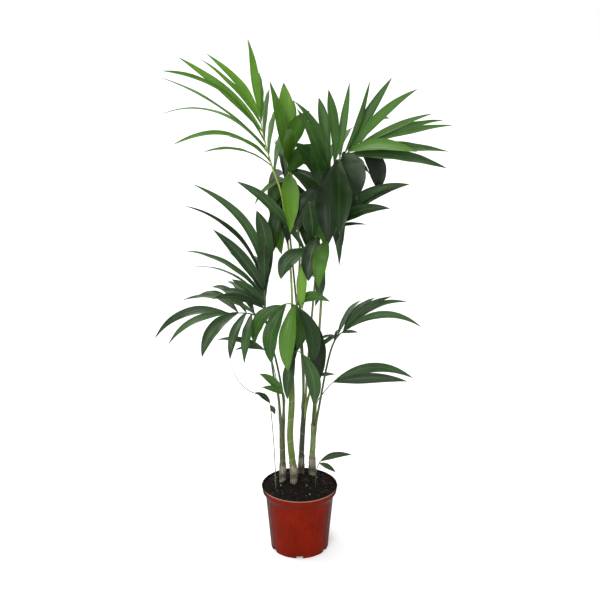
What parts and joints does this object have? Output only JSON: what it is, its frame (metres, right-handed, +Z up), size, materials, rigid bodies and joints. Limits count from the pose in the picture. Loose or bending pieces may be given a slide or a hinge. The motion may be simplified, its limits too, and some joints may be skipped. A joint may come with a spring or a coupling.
{
  "type": "potted palm",
  "caption": "Kentia palm of several stems with long feathery fronds, growing in a round terracotta-coloured plastic nursery pot",
  "frame": {"origin": "centre of the pot's flat underside, on the surface that it stands on", "axes": "+Z up along the plant, -Y toward the front of the plant, +X to the right seen from the front"},
  "size_m": [0.6929, 0.5944, 1.2508],
  "materials": {
    "pot_plastic": "satin moulded polypropylene, red-brown",
    "potting_soil": null,
    "green_stem": null,
    "dry_sheath": "dry pale brown fibre of old leaf bases",
    "leaf_green": null,
    "leaf_bright": "young leaf blade, bright yellow-green, lets light through",
    "leaf_dark": "old leaf blade, glossy dark green"
  },
  "bodies": {
    "root": {"pot": "pot_plastic", "soil": "potting_soil", "stem_left": "green_stem", "stem_front": "green_stem", "stem_back": "green_stem", "stem_right": "green_stem", "sheath_left": "dry_sheath", "sheath_front": "dry_sheath", "sheath_back": "dry_sheath", "sheath_right": "dry_sheath", "frond_upper_left": "leaf_bright", "frond_centre_top": "leaf_bright", "frond_upper_right": "leaf_green", "frond_centre_middle": "leaf_dark", "frond_middle_left": "leaf_dark", "frond_lower_left": "leaf_dark", "frond_lower_right": "leaf_dark", "frond_centre_right": "leaf_bright", "frond_centre_low": "leaf_green", "frond_back_left": "leaf_dark", "frond_back_right": "leaf_dark", "young_leaf_forked": "leaf_dark", "young_leaf_side": "leaf_dark", "young_leaf_front": "leaf_green", "young_leaf_stub": "leaf_dark", "young_leaf_hanging": "leaf_dark", "seedling_low": "leaf_dark", "seedling_left": "leaf_dark"}
  },
  "joints": []
}
